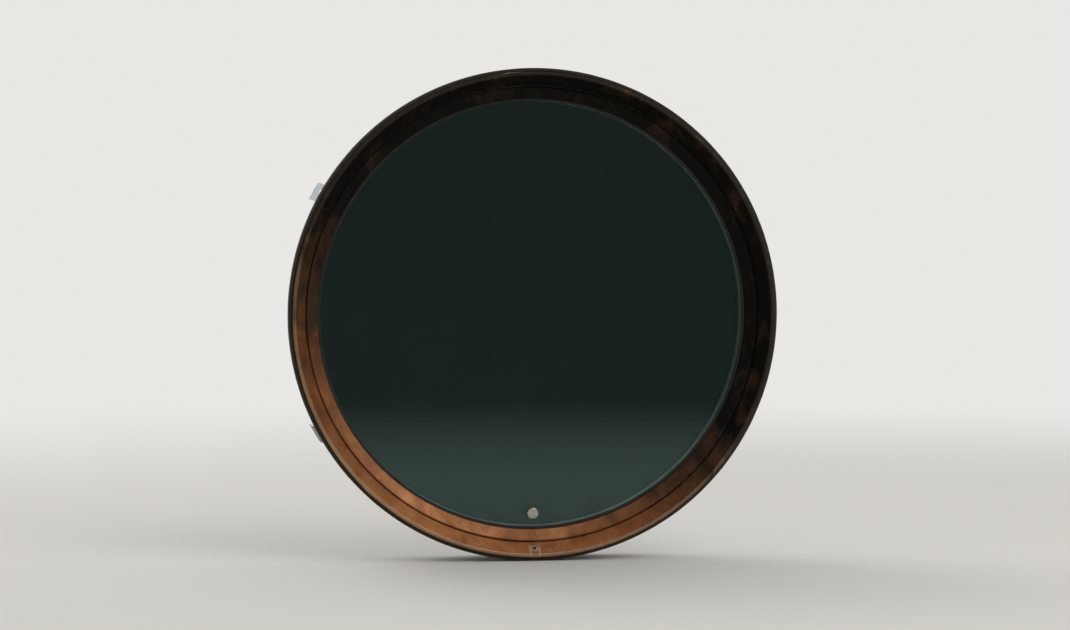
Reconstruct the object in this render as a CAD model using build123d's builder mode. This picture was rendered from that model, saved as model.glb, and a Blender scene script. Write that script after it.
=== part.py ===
"""Round fixed window with its frame: copper-faced, thermally separated, double-glazed.

Every ring is turned about the Y axis. The front of the window looks along -Y and +Z is up.
The origin is on that axis, in the plane where the joint to the wall begins.
Profiles are drawn in the XY plane: X is the radius and Y is the depth behind the origin.
"""

import os
from math import cos, degrees, hypot, radians, sin

from build123d import *

# Opening, joint and frame
opening_diameter = 650.0
joint_width = 5.0
tape_depth = 20.0
lip_stand_out = 6.0

# Copper facing and the cap of the glazing bead
copper_sheet = 1.5
bend_radius = 1.8
lip_flat = 0.8
skirt_depth = 24.0
lip_width = 4.0
funnel_width = 14.0
funnel_fall = 18.0
facing_return = 6.0
shadow_gap = 0.8
cap_width = 16.0
cap_fall = 8.0
cap_leg = 6.0
cap_nose = 2.4
nose_flat = 0.5

# Tapes between copper and aluminium
separation_tape = 1.0
tape_play = 0.05
funnel_tape_start = 5.7
funnel_tape_width = 13.6
skirt_tape_width = 17.0
cap_tape_start = 4.5
cap_tape_width = 7.2

# Glazing unit
outer_glass = 6.0
cavity = 16.0
inner_glass = 8.0
edge_cover = 15.0
glass_arris = 0.6
spacer_height = 7.5
spacer_wall = 0.8
spacer_sight = 0.2
butyl = 0.4
butyl_height = 4.0
desiccant_clearance = 0.3

# Gaskets
gasket_sight = 4.0
gasket_height = 3.0
gasket_bearing = 10.0
gasket_lip = 0.8
gasket_foot = 1.2
gasket_foot_play = 0.3
inner_gasket_height = 4.0
inner_gasket_sight = 0.5

# Aluminium shells and polyamide rings
glass_clearance = 5.0
shell_wall = 2.0
inner_leg_depth = 21.0
inner_leg_overlap = 13.0
room_edge_radius = 3.0
outer_shell_tail = 12.0
strip_span = 16.0
strip_wall = 1.8
strip_head = 2.6
strip_groove = 2.0
strip_inset = 3.6
groove_play = 0.1

# Glazing bead
bead_ledge = 2.0
ledge_play = 1.5
bead_gap = 1.0
bead_foot = 2.8
bead_foot_width = 2.2
bead_play = 0.3
bead_wall = 1.4
bead_nose_gap = 3.2
snap_nib = 1.0

# Blocks under and round the glass
block_stop_gap = 2.9
setting_block_length = 60.0
location_block_length = 40.0
setting_block_angles = (240, 300)
location_block_angles = (-12, 60, 120, 192)

# Drainage
weep_hole = 6.0
eyelet_wall = 0.6
eyelet_flange = 1.6
eyelet_tail = 2.4
eyelet_seat = 0.05
eyelet_edge = 0.35
drain_slot_length = 16.0
drain_slot_height = 4.0
drain_slot_pitch = 70.0
drain_slots = 3

# Anchor lugs and their screws
lug_count = 6
lug_start_angle = 30
lug_width = 25.0
lug_sheet = 2.0
lug_on_frame = 24.0
lug_step = 12.0
lug_behind_frame = 48.0
lug_bend = 3.0
lug_wall_play = 0.3
anchor_hole = 9.0
anchor_hole_end = 12.0
screw_diameter = 4.8
screw_play = 0.1
screw_head = 9.0
screw_head_height = 2.0
screw_reach = 7.0
screw_rows = 2
screw_pitch = 11.0

# Button on the glass
button_diameter = 15.0
button_height = 5.0
button_dome = 1.4
button_edge_gap = 17.0
pad_thickness = 0.8
pad_inset = 1.0

# Radii that follow
opening_radius = opening_diameter / 2
frame_radius = opening_radius - joint_width
lip_radius = frame_radius - lip_width
funnel_radius = lip_radius - funnel_width
cap_radius = funnel_radius - shadow_gap
nose_radius = cap_radius - cap_width
sight_radius = nose_radius - gasket_sight
glass_radius = sight_radius + edge_cover
rebate_radius = glass_radius + glass_clearance
barrel_radius = frame_radius - copper_sheet - separation_tape
spacer_inner_radius = sight_radius + spacer_sight
spacer_outer_radius = spacer_inner_radius + spacer_height
inner_sight_radius = glass_radius - inner_leg_overlap

# Depths that follow
lip_front = -lip_stand_out
funnel_back = lip_front + funnel_fall
cap_back = funnel_back + cap_fall
gasket_front = cap_back + cap_nose
glass_front = gasket_front + gasket_height
cavity_front = glass_front + outer_glass
cavity_back = cavity_front + cavity
glass_back = cavity_back + inner_glass
stop_front = glass_back + inner_gasket_height
room_face = stop_front + inner_leg_depth
outer_shell_back = glass_front + outer_shell_tail
inner_shell_front = outer_shell_back + strip_span
cladding = copper_sheet + separation_tape


def below_face(radius, corner_radius, corner_depth, width, fall, distance):
    """Depth at a radius of the line that runs a distance behind a sloping face."""
    return corner_depth + (corner_radius - radius) * fall / width + distance * hypot(width, fall) / width


def face_plane(corner_radius, corner_depth, width, fall):
    """Plane on a sloping face: its X runs down the face, and its Y points behind it."""
    corner = (corner_radius, corner_depth, 0)
    return Plane(origin=corner, x_dir=(-width, fall, 0), z_dir=(0, 0, -1))


def flat_section(inner_radius, outer_radius, front, back):
    """Rectangular section between two radii and two depths."""
    with BuildSketch(Plane.XY) as section:
        with Locations((inner_radius, front)):
            Rectangle(outer_radius - inner_radius, back - front, align=(Align.MIN, Align.MIN))
    return section.sketch


def sheet_section(plane, points, corner_radius, thickness):
    """Section of bent sheet metal whose first side follows the points, with rounded bends."""
    with BuildSketch(plane) as section:
        with BuildLine():
            FilletPolyline(*points, radius=corner_radius)
            offset(amount=thickness, side=Side.RIGHT)
        make_face()
    return section.sketch


def around(angle, radius, depth):
    """Plane at an angle round the window: X along the axis towards the room, Z outwards."""
    outwards = Vector(cos(radians(angle)), 0, sin(radians(angle)))
    return Plane(origin=outwards * radius + Vector(0, depth, 0), x_dir=(0, 1, 0), z_dir=outwards)


def keep(piece, name):
    """Name a finished piece and write it to its own file."""
    piece.part.label = name
    export_step(piece.part, f"parts/{name}.step")


os.makedirs("parts", exist_ok=True)

# Copper facing: skirt over the frame, lip, funnel face and a return beside the glazing bead
funnel_plane = face_plane(lip_radius, lip_front, funnel_width, funnel_fall)
lip_bend = min(bend_radius, (lip_width - lip_flat) / 2)
weep_plane = Plane(
    origin=(0, lip_front + funnel_fall / 2, -(lip_radius - funnel_width / 2)),
    x_dir=(1, 0, 0),
    z_dir=(0, -funnel_width, funnel_fall),
)
facing_points = (
    (frame_radius, skirt_depth),
    (frame_radius, lip_front),
    (lip_radius, lip_front),
    (funnel_radius, funnel_back),
    (funnel_radius, funnel_back + facing_return),
)

with BuildPart() as facing_ring:
    revolve(sheet_section(Plane.XY, facing_points, lip_bend, copper_sheet), axis=Axis.Y)
    with Locations(weep_plane):
        Hole(weep_hole / 2, depth=2 * copper_sheet)
keep(facing_ring, "facing_ring")

# Eyelet in the drain hole: a flange on the funnel face and a short neck through the sheet
with BuildPart() as weep_eyelet:
    with BuildSketch(weep_plane.offset(eyelet_seat)):
        Circle(weep_hole / 2 + eyelet_flange)
    extrude(amount=eyelet_wall)
    with BuildSketch(weep_plane.offset(eyelet_seat)):
        Circle(weep_hole / 2)
    extrude(amount=-eyelet_tail)
    flange_rim = weep_eyelet.edges().filter_by(GeomType.CIRCLE).group_by(SortBy.RADIUS)[-1]
    fillet(flange_rim.sort_by(Axis.Z)[-1], eyelet_edge)
    with Locations(weep_plane):
        Hole(weep_hole / 2 - eyelet_wall)
keep(weep_eyelet, "weep_eyelet")

# Tapes that keep the copper off the aluminium
with BuildPart() as facing_tape:
    with BuildSketch(funnel_plane):
        with Locations((funnel_tape_start, copper_sheet)):
            Rectangle(funnel_tape_width, separation_tape - tape_play, align=(Align.MIN, Align.MIN))
    revolve(axis=Axis.Y)
    with Locations(weep_plane):
        Hole(weep_hole / 2 + separation_tape, depth=4 * cladding)
keep(facing_tape, "facing_tape")

skirt_tape_back = skirt_depth - separation_tape

with BuildPart() as skirt_tape:
    revolve(flat_section(
        barrel_radius,
        barrel_radius + separation_tape,
        skirt_tape_back - skirt_tape_width,
        skirt_tape_back,
    ), axis=Axis.Y)
keep(skirt_tape, "skirt_tape")

# Outer shell: hollow ring behind the funnel face, with a rebate for the glass
nose_front = lip_front + cladding
nose_corner = lip_radius + cladding * (hypot(funnel_width, funnel_fall) - funnel_width) / funnel_fall
return_radius = funnel_radius + cladding
rebate_front = funnel_back + facing_return + separation_tape
rail = strip_groove + shell_wall
bead_back = glass_front - bead_gap
strip_radii = (rebate_radius + strip_inset, barrel_radius - strip_inset)


def strip_grooves(depth, towards_back):
    """Two grooves in the end face of a shell, for the heads of the polyamide rings."""
    start = Align.MIN if towards_back else Align.MAX
    for strip_radius in strip_radii:
        with Locations((strip_radius, depth)):
            Rectangle(
                strip_head + 2 * groove_play, strip_groove, align=(Align.CENTER, start), mode=Mode.SUBTRACT
            )


with BuildPart() as outer_frame_ring:
    with BuildSketch(Plane.XY) as outer_profile:
        with BuildLine():
            Polyline(
                (barrel_radius, outer_shell_back),
                (barrel_radius, nose_front),
                (nose_corner, nose_front),
                (
                    return_radius,
                    below_face(return_radius, lip_radius, lip_front, funnel_width, funnel_fall, cladding),
                ),
                (return_radius, rebate_front),
                (rebate_radius, rebate_front),
                (rebate_radius, outer_shell_back),
                close=True,
            )
        make_face()
        offset(amount=-shell_wall, kind=Kind.INTERSECTION, mode=Mode.SUBTRACT)
        with Locations((rebate_radius, outer_shell_back)):
            Rectangle(barrel_radius - rebate_radius, rail, align=(Align.MIN, Align.MAX))
        strip_grooves(outer_shell_back, False)
        with Locations((rebate_radius, bead_back)):
            Rectangle(glass_clearance - ledge_play, bead_ledge, align=(Align.MAX, Align.MIN))
        with BuildLine():
            nib_back = bead_back - bead_foot - bead_play
            Polyline(
                (rebate_radius, nib_back),
                (rebate_radius - snap_nib, nib_back),
                (rebate_radius, nib_back - snap_nib),
                close=True,
            )
        make_face()
    revolve(axis=Axis.Y)
    drain_step = degrees(drain_slot_pitch / rebate_radius)
    for slot in range(drain_slots):
        drain_angle = 270 + (slot - (drain_slots - 1) / 2) * drain_step
        drain_depth = (bead_back + bead_ledge + outer_shell_back - rail) / 2
        with BuildSketch(around(drain_angle, rebate_radius - snap_nib, drain_depth)):
            SlotOverall(drain_slot_length, drain_slot_height, rotation=90)
        extrude(amount=snap_nib + shell_wall + groove_play, mode=Mode.SUBTRACT)
    with BuildSketch(weep_plane):
        Circle(weep_hole / 2)
    extrude(amount=-2 * cladding - shell_wall, mode=Mode.SUBTRACT)
keep(outer_frame_ring, "outer_frame_ring")

# Inner shell: hollow ring with the leg that the glass stops against
with BuildPart() as inner_frame_ring:
    with BuildSketch(Plane.XY) as inner_profile:
        with BuildLine():
            Polyline(
                (barrel_radius, inner_shell_front),
                (rebate_radius, inner_shell_front),
                (rebate_radius, stop_front),
                (inner_sight_radius, stop_front),
                (inner_sight_radius, room_face),
                (barrel_radius, room_face),
                close=True,
            )
        make_face()
        room_corners = inner_profile.vertices().group_by(Axis.Y)[-1]
        fillet(room_corners, room_edge_radius)
        offset(amount=-shell_wall, kind=Kind.INTERSECTION, mode=Mode.SUBTRACT)
        with Locations((rebate_radius, inner_shell_front)):
            Rectangle(barrel_radius - rebate_radius, rail, align=(Align.MIN, Align.MIN))
        strip_grooves(inner_shell_front, True)
    revolve(axis=Axis.Y)
    screw_centre = room_face - lug_on_frame / 2
    for lug in range(lug_count):
        with BuildSketch(around(lug_start_angle + lug * 360 / lug_count, barrel_radius, screw_centre)):
            with GridLocations(screw_pitch, 0, screw_rows, 1):
                Circle(screw_diameter / 2 + screw_play)
        extrude(amount=-2 * shell_wall, both=True, mode=Mode.SUBTRACT)
keep(inner_frame_ring, "inner_frame_ring")


def polyamide_section(strip_radius):
    """Section of a flat ring with a thicker head along each edge, to be rolled into the shells' grooves."""
    middle = (outer_shell_back + inner_shell_front) / 2
    with BuildSketch(Plane.XY) as section:
        with Locations((strip_radius, middle)):
            Rectangle(strip_wall, strip_span + 2 * strip_groove)
            with GridLocations(0, strip_span + strip_groove, 1, 2):
                Rectangle(strip_head, strip_groove)
    return section.sketch


with BuildPart() as thermal_break_inner:
    revolve(polyamide_section(strip_radii[0]), axis=Axis.Y)
keep(thermal_break_inner, "thermal_break_inner")

with BuildPart() as thermal_break_outer:
    revolve(polyamide_section(strip_radii[1]), axis=Axis.Y)
keep(thermal_break_outer, "thermal_break_outer")

# Glazing bead: wedge-shaped hollow ring, its foot snapped between the nib and the ledge
bead_body_radius = rebate_radius - bead_play - bead_foot_width
bead_inner_radius = nose_radius + copper_sheet + bead_nose_gap


def below_cap(radius, distance=cladding):
    """Depth at a radius of the bead's sloping face, or of a line further behind the cap."""
    return below_face(radius, cap_radius, funnel_back, cap_width, cap_fall, distance)


chamber_outer = bead_body_radius - bead_wall
chamber_inner = sight_radius + gasket_bearing + bead_wall
chamber_back = bead_back - bead_wall


with BuildPart() as glazing_bead:
    with BuildSketch(Plane.XY):
        with BuildLine():
            Polyline(
                (rebate_radius - bead_play, bead_back),
                (rebate_radius - bead_play, bead_back - bead_foot),
                (bead_body_radius, bead_back - bead_foot),
                (bead_body_radius, below_cap(bead_body_radius)),
                (bead_inner_radius, below_cap(bead_inner_radius)),
                (bead_inner_radius, gasket_front),
                (sight_radius + gasket_bearing, gasket_front),
                (sight_radius + gasket_bearing, bead_back),
                close=True,
            )
        make_face()
        with BuildLine():
            Polyline(
                (chamber_outer, below_cap(chamber_outer, cladding + bead_wall)),
                (chamber_outer, chamber_back),
                (chamber_inner, chamber_back),
                (chamber_inner, below_cap(chamber_inner, cladding + bead_wall)),
                close=True,
            )
        make_face(mode=Mode.SUBTRACT)
    revolve(axis=Axis.Y)
keep(glazing_bead, "glazing_bead")

cap_plane = face_plane(cap_radius, funnel_back, cap_width, cap_fall)

with BuildPart() as bead_tape:
    with BuildSketch(cap_plane):
        with Locations((cap_tape_start, copper_sheet)):
            Rectangle(cap_tape_width, separation_tape - tape_play, align=(Align.MIN, Align.MIN))
    revolve(axis=Axis.Y)
keep(bead_tape, "bead_tape")

# Copper cap over the bead
cap_points = (
    (cap_radius, funnel_back + cap_leg),
    (cap_radius, funnel_back),
    (nose_radius, cap_back),
    (nose_radius, gasket_front),
)

with BuildPart() as bead_cap:
    cap_bend = min(bend_radius, cap_nose - nose_flat)
    revolve(sheet_section(Plane.XY, cap_points, cap_bend, copper_sheet), axis=Axis.Y)
keep(bead_cap, "bead_cap")

# Outer gasket: bearing strip on the glass, sloping lip in view, and a foot between the cap and the bead
with BuildPart() as outer_gasket:
    with BuildSketch(Plane.XY):
        with BuildLine():
            Polyline(
                (sight_radius + gasket_bearing, glass_front),
                (sight_radius + gasket_bearing, gasket_front),
                (nose_radius - gasket_lip, gasket_front),
            )
            Line((sight_radius, glass_front), (sight_radius + gasket_bearing, glass_front))
            TangentArc(
                (nose_radius - gasket_lip, gasket_front),
                (sight_radius, glass_front),
                tangent=(-1, 0),
            )
        make_face()
        with Locations((nose_radius + copper_sheet + gasket_foot_play, gasket_front)):
            Rectangle(bead_nose_gap - 2 * gasket_foot_play, gasket_foot, align=(Align.MIN, Align.MAX))
    revolve(axis=Axis.Y)
keep(outer_gasket, "outer_gasket")

# Panes
with BuildPart() as outer_pane:
    with BuildSketch(Plane.XZ.offset(-glass_front)):
        Circle(glass_radius)
    extrude(amount=-outer_glass)
    chamfer(outer_pane.edges(), glass_arris)
keep(outer_pane, "outer_pane")

with BuildPart() as inner_pane:
    with BuildSketch(Plane.XZ.offset(-cavity_back)):
        Circle(glass_radius)
    extrude(amount=-inner_glass)
    chamfer(inner_pane.edges(), glass_arris)
keep(inner_pane, "inner_pane")

# Edge of the glazing unit: spacer with its drying agent, butyl on both sides and the edge seal
with BuildPart() as spacer_ring:
    with BuildSketch(Plane.XY) as spacer_profile:
        with Locations((spacer_inner_radius, cavity_front + butyl)):
            Rectangle(spacer_height, cavity - 2 * butyl, align=(Align.MIN, Align.MIN))
        offset(amount=-spacer_wall, kind=Kind.INTERSECTION, mode=Mode.SUBTRACT)
    revolve(axis=Axis.Y)
keep(spacer_ring, "spacer_ring")

filling = spacer_wall + desiccant_clearance

with BuildPart() as desiccant_ring:
    revolve(flat_section(
        spacer_inner_radius + filling,
        spacer_outer_radius - filling,
        cavity_front + butyl + filling,
        cavity_back - butyl - filling,
    ), axis=Axis.Y)
keep(desiccant_ring, "desiccant_ring")

butyl_radius = spacer_inner_radius + (spacer_height - butyl_height) / 2

with BuildPart() as outer_butyl_seal:
    revolve(flat_section(
        butyl_radius,
        butyl_radius + butyl_height,
        cavity_front,
        cavity_front + butyl,
    ), axis=Axis.Y)
keep(outer_butyl_seal, "outer_butyl_seal")

with BuildPart() as inner_butyl_seal:
    revolve(flat_section(
        butyl_radius,
        butyl_radius + butyl_height,
        cavity_back - butyl,
        cavity_back,
    ), axis=Axis.Y)
keep(inner_butyl_seal, "inner_butyl_seal")

with BuildPart() as edge_seal:
    revolve(flat_section(
        spacer_outer_radius,
        glass_radius - glass_arris,
        cavity_front,
        cavity_back,
    ), axis=Axis.Y)
keep(edge_seal, "edge_seal")

# Inner gasket between the inner pane and the leg of the inner shell
with BuildPart() as inner_gasket:
    revolve(flat_section(
        inner_sight_radius - inner_gasket_sight,
        sight_radius + gasket_bearing,
        glass_back,
        stop_front,
    ), axis=Axis.Y)
keep(inner_gasket, "inner_gasket")


block_front = bead_back + bead_ledge + groove_play
block_depth = stop_front - block_stop_gap - block_front


def block_section(angle, sweep_angle):
    """Section of a block between the edge of the glass and the rebate, at the block's first end."""
    with BuildSketch(Plane.XY.rotated((0, sweep_angle / 2 - angle, 0))) as section:
        with Locations((glass_radius, block_front)):
            Rectangle(glass_clearance, block_depth, align=(Align.MIN, Align.MIN))
    return section.sketch


for number, angle in enumerate(setting_block_angles, start=1):
    sweep_angle = degrees(setting_block_length / rebate_radius)
    with BuildPart() as setting_block:
        revolve(block_section(angle, sweep_angle), axis=Axis.Y, revolution_arc=-sweep_angle)
    keep(setting_block, f"setting_block_{number}")

for number, angle in enumerate(location_block_angles, start=1):
    sweep_angle = degrees(location_block_length / rebate_radius)
    with BuildPart() as location_block:
        revolve(block_section(angle, sweep_angle), axis=Axis.Y, revolution_arc=-sweep_angle)
    keep(location_block, f"location_block_{number}")

# Anchor lugs: steel straps on the frame, stepped out to lie on the opening's wall
lug_outer = (opening_radius - lug_wall_play) ** 2 - (lug_width / 2) ** 2
lug_outer_radius = lug_outer**0.5
lug_end = room_face + lug_behind_frame
lug_profile = (
    (barrel_radius, room_face - lug_on_frame),
    (barrel_radius, room_face),
    (lug_outer_radius - lug_sheet, room_face + lug_step),
    (lug_outer_radius - lug_sheet, lug_end),
)

for number in range(1, lug_count + 1):
    lug_angle = lug_start_angle + (number - 1) * 360 / lug_count
    lug_plane = Plane.XY.rotated((0, -lug_angle, 0))
    with BuildPart() as anchor_lug:
        extrude(sheet_section(lug_plane, lug_profile, lug_bend, lug_sheet), amount=lug_width / 2, both=True)
        with BuildSketch(around(lug_angle, barrel_radius, screw_centre)):
            with GridLocations(screw_pitch, 0, screw_rows, 1):
                Circle(screw_diameter / 2 + screw_play)
        extrude(amount=2 * lug_sheet, both=True, mode=Mode.SUBTRACT)
        with BuildSketch(around(lug_angle, lug_outer_radius, lug_end - anchor_hole_end)):
            Circle(anchor_hole / 2)
        extrude(amount=2 * lug_sheet, both=True, mode=Mode.SUBTRACT)
    keep(anchor_lug, f"anchor_lug_{number}")

with BuildPart() as lug_screws:
    for number in range(lug_count):
        lug_angle = lug_start_angle + number * 360 / lug_count
        head_plane = around(lug_angle, barrel_radius + lug_sheet, screw_centre)
        with BuildSketch(head_plane):
            with GridLocations(screw_pitch, 0, screw_rows, 1):
                Circle(screw_head / 2)
        extrude(amount=screw_head_height)
        with BuildSketch(head_plane):
            with GridLocations(screw_pitch, 0, screw_rows, 1):
                Circle(screw_diameter / 2)
        extrude(amount=-screw_reach)
keep(lug_screws, "lug_screws")

# Foam tape in the joint round the frame
with BuildPart() as joint_tape:
    revolve(flat_section(frame_radius, opening_radius, 0, tape_depth), axis=Axis.Y)
keep(joint_tape, "joint_tape")

# Button bonded to the outer face of the glass
button_plane = Plane(
    origin=(0, glass_front, button_edge_gap - sight_radius),
    x_dir=(1, 0, 0),
    z_dir=(0, -1, 0),
)

with BuildPart() as button_pad:
    with BuildSketch(button_plane):
        Circle(button_diameter / 2 - pad_inset)
    extrude(amount=pad_thickness)
keep(button_pad, "button_pad")

with BuildPart() as glass_button:
    with BuildSketch(button_plane.offset(pad_thickness)):
        Circle(button_diameter / 2)
    extrude(amount=button_height)
    fillet(glass_button.edges().sort_by(Axis.Y)[0], button_dome)
keep(glass_button, "glass_button")

print("frame", 2 * frame_radius, "glass", 2 * glass_radius, "visible glass", 2 * sight_radius)
print("depth from lip to room face", room_face - lip_front)
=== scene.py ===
# %% [markdown]
# This is a round window of about 65 cm, made to be set in a drilled round opening. A ring of
# weathered copper sheet leads down to a dark double-glazed unit, and behind it lies a frame of
# aluminium and polyamide. The construction is loaded ready made, at its real size, and nothing of
# it is moved or reshaped here. What is left to do is what the eye sees: a few soft and small pieces
# with a truer surface, the finish of every part, and light and a view to see them by.

# %% Load the construction
from math import radians
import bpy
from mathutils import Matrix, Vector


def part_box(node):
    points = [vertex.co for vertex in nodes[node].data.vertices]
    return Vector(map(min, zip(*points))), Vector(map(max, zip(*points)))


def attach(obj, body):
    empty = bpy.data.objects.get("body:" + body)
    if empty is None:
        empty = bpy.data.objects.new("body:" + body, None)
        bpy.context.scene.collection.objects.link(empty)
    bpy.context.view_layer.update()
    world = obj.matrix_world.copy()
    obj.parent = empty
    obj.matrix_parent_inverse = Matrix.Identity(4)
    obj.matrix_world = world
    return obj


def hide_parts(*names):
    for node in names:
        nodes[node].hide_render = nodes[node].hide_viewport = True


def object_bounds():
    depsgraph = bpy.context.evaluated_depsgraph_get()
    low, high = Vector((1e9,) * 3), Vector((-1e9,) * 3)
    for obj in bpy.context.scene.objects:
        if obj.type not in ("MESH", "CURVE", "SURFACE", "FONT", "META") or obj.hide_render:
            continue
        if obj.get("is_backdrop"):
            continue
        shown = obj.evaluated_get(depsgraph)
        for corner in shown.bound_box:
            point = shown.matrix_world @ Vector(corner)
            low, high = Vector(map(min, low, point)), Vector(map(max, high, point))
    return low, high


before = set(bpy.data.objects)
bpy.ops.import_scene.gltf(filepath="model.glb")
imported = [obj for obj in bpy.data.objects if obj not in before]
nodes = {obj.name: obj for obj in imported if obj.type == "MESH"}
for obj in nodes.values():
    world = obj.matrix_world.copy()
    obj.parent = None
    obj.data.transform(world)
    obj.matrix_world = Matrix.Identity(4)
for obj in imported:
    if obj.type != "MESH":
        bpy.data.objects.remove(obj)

from types import SimpleNamespace

import bmesh
import bpy
import numpy as np
from mathutils import Vector

cad_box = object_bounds()
cad_sides = [round(side, 4) for side in cad_box[1] - cad_box[0]]
print(len(nodes), "nodes in a box of", cad_sides, "metres")

# %% [markdown]
# Every ring of the window is turned about the Y axis, so four numbers say where it is: an inner and
# an outer radius, a front and a back. They could be typed in, but reading them from the loaded
# meshes keeps this file true when a size changes in the construction. Blender counts in metres, and
# a maker counts in millimetres.

# %% Measure the rings
MM = 0.001


def ring(name):
    """Inner and outer radius, front and back of a ring: the least and greatest of hypot(x, z),
    then the least and greatest of y."""
    mesh = nodes[name].data
    points = np.empty(3 * len(mesh.vertices), np.float32)
    mesh.vertices.foreach_get("co", points)
    x, y, z = points.reshape(-1, 3).T.astype(float)
    radius = np.hypot(x, z)
    return radius.min(), radius.max(), y.min(), y.max()


for name in ("joint_tape", "facing_ring", "bead_cap", "outer_gasket", "outer_pane"):
    print(name, [round(value / MM, 1) for value in ring(name)], "mm")

# %% [markdown]
# The new pieces are surfaces on a grid. An outline in radius and depth is written with few corners,
# the corners are cut by short curves, and the points are spread evenly along it. numpy does this
# for whole arrays at once, which is both faster and easier to read than a loop over points.

# %% Draw an outline
CURVE_POINTS = 9


def rounded(corners, cuts):
    """Closed outline whose corners are cut by curves that start and end the distance cut before
    and after. With the corner C, the start A and the end B, a curve is
    (1 - t)^2 A + 2 t (1 - t) C + t^2 B."""
    corners = np.array(corners, float)
    cuts = np.array(cuts, float).reshape(-1, 1)
    before = np.roll(corners, 1, axis=0) - corners
    after = np.roll(corners, -1, axis=0) - corners
    start = corners + cuts * before / np.linalg.norm(before, axis=1, keepdims=True)
    end = corners + cuts * after / np.linalg.norm(after, axis=1, keepdims=True)
    t = np.linspace(0, 1, CURVE_POINTS)[None, :, None]
    start, middle, end = (points[:, None] for points in (start, corners, end))
    return ((1 - t) ** 2 * start + 2 * t * (1 - t) * middle + t**2 * end).reshape(-1, 2)


def evenly(outline, count):
    """The outline with points at equal steps of its length, on straight lines between the old."""
    closed = np.vstack([outline, outline[:1]])
    steps = np.linalg.norm(np.diff(closed, axis=0), axis=1)
    length = np.concatenate([[0], np.cumsum(steps)])
    places = np.linspace(0, length[-1], count, endpoint=False)
    return np.column_stack([np.interp(places, length, closed[:, axis]) for axis in range(2)])


cut_square = evenly(rounded([(0, 0), (4, 0), (4, 4), (0, 4)], [1] * 4), 8)
print("a square of 4 with cut corners:", cut_square.round(1).tolist())

# %% [markdown]
# Real rubber and foam are never perfectly even, so the radius and depth of a ring may drift a
# little on the way round. The drift comes from smooth random lumps with a fixed seed, which gives
# the same window each time. The grid of lumps closes both ways, so no seam shows where a ring ends.

# %% Smooth random lumps


def lumps(rows, columns, down, along, seed):
    """Smooth random heights from 0 to 1 on a grid that closes both ways. A coarse grid of random
    numbers is read in between with weights 3 t^2 - 2 t^3, first down the rows and then along the
    columns."""
    heights = np.random.default_rng(seed).uniform(0, 1, (down, along))
    for axis, count in ((0, rows), (1, columns)):
        coarse = heights.shape[axis]
        place = np.arange(count) * coarse / count
        first = place.astype(int)
        t = place - first
        weight = (3 * t**2 - 2 * t**3).reshape((-1, 1) if axis == 0 else (1, -1))
        near = np.take(heights, first, axis=axis)
        far = np.take(heights, (first + 1) % coarse, axis=axis)
        heights = near * (1 - weight) + far * weight
    return heights


print("two rows of lumps:", lumps(2, 6, down=1, along=3, seed=1).round(2).tolist())

# %% [markdown]
# An outline becomes a ring when it is carried round the axis, and a grid of points becomes a mesh
# when each point is joined to its neighbours. A closed surface must face outwards, and the sign of
# its volume tells whether it does. Every piece is then attached to the body that it moves with, and
# the part of the construction that it stands for is hidden.

# %% Make a piece


def carried_round(radius, depth):
    """Grid of points (radius cos a, depth, radius sin a). The angle a grows along the columns."""
    angle = np.linspace(0, 2 * np.pi, radius.shape[1], endpoint=False)
    return np.stack([radius * np.cos(angle), depth, radius * np.sin(angle)], axis=-1)


def make_piece(name, grids, stands_for, tube=True):
    """One mesh of one or more equal grids. A face joins a point to the next one in its row and its
    column. The columns close, and on a tube the rows close too. What isn't a tube has end rows of
    radius 0, whose equal points are merged to one, so that the faces round each pole are
    triangles."""
    rows, columns = grids[0].shape[:2]
    index = np.arange(rows * columns).reshape(rows, columns)
    below, beside = np.roll(index, -1, axis=0), np.roll(index, -1, axis=1)
    faces = np.stack([index, below, np.roll(below, -1, axis=1), beside], axis=-1)
    faces = (faces if tube else faces[:-1]).reshape(-1, 4)
    faces = np.concatenate([faces + number * rows * columns for number in range(len(grids))])
    points = np.concatenate([grid.reshape(-1, 3) for grid in grids])
    a, b, c, d = (points[faces[:, corner]] for corner in range(4))
    volume = ((np.cross(a, b) * c).sum() + (np.cross(a, c) * d).sum()) / 6
    if volume < 0:
        faces = faces[:, ::-1]
    mesh = bpy.data.meshes.new(name)
    mesh.from_pydata(points.tolist(), [], faces.tolist())
    if not tube:
        shell = bmesh.new()
        shell.from_mesh(mesh)
        bmesh.ops.remove_doubles(shell, verts=shell.verts, dist=0.01 * MM)
        shell.to_mesh(mesh)
        shell.free()
    mesh.shade_smooth()
    made = bpy.data.objects.new(name, mesh)
    bpy.context.scene.collection.objects.link(made)
    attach(made, "root")
    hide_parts(stands_for)
    print(name, len(faces), "faces,", round(abs(volume) * 1e6, 1), "cubic centimetres")
    return made


one_turn = carried_round(np.ones((1, 4)), np.zeros((1, 4)))
print("one turn in four steps:", one_turn.round().astype(int).tolist())

# %% [markdown]
# The joint round the window is closed by a foam tape. It is rolled on tightly packed and swells
# until it fills the joint, so its front is a dark, slightly uneven line. Each point is drawn a
# little towards the middle of the tape's section by the lumps, so the foam never grows past its
# real space.

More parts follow.
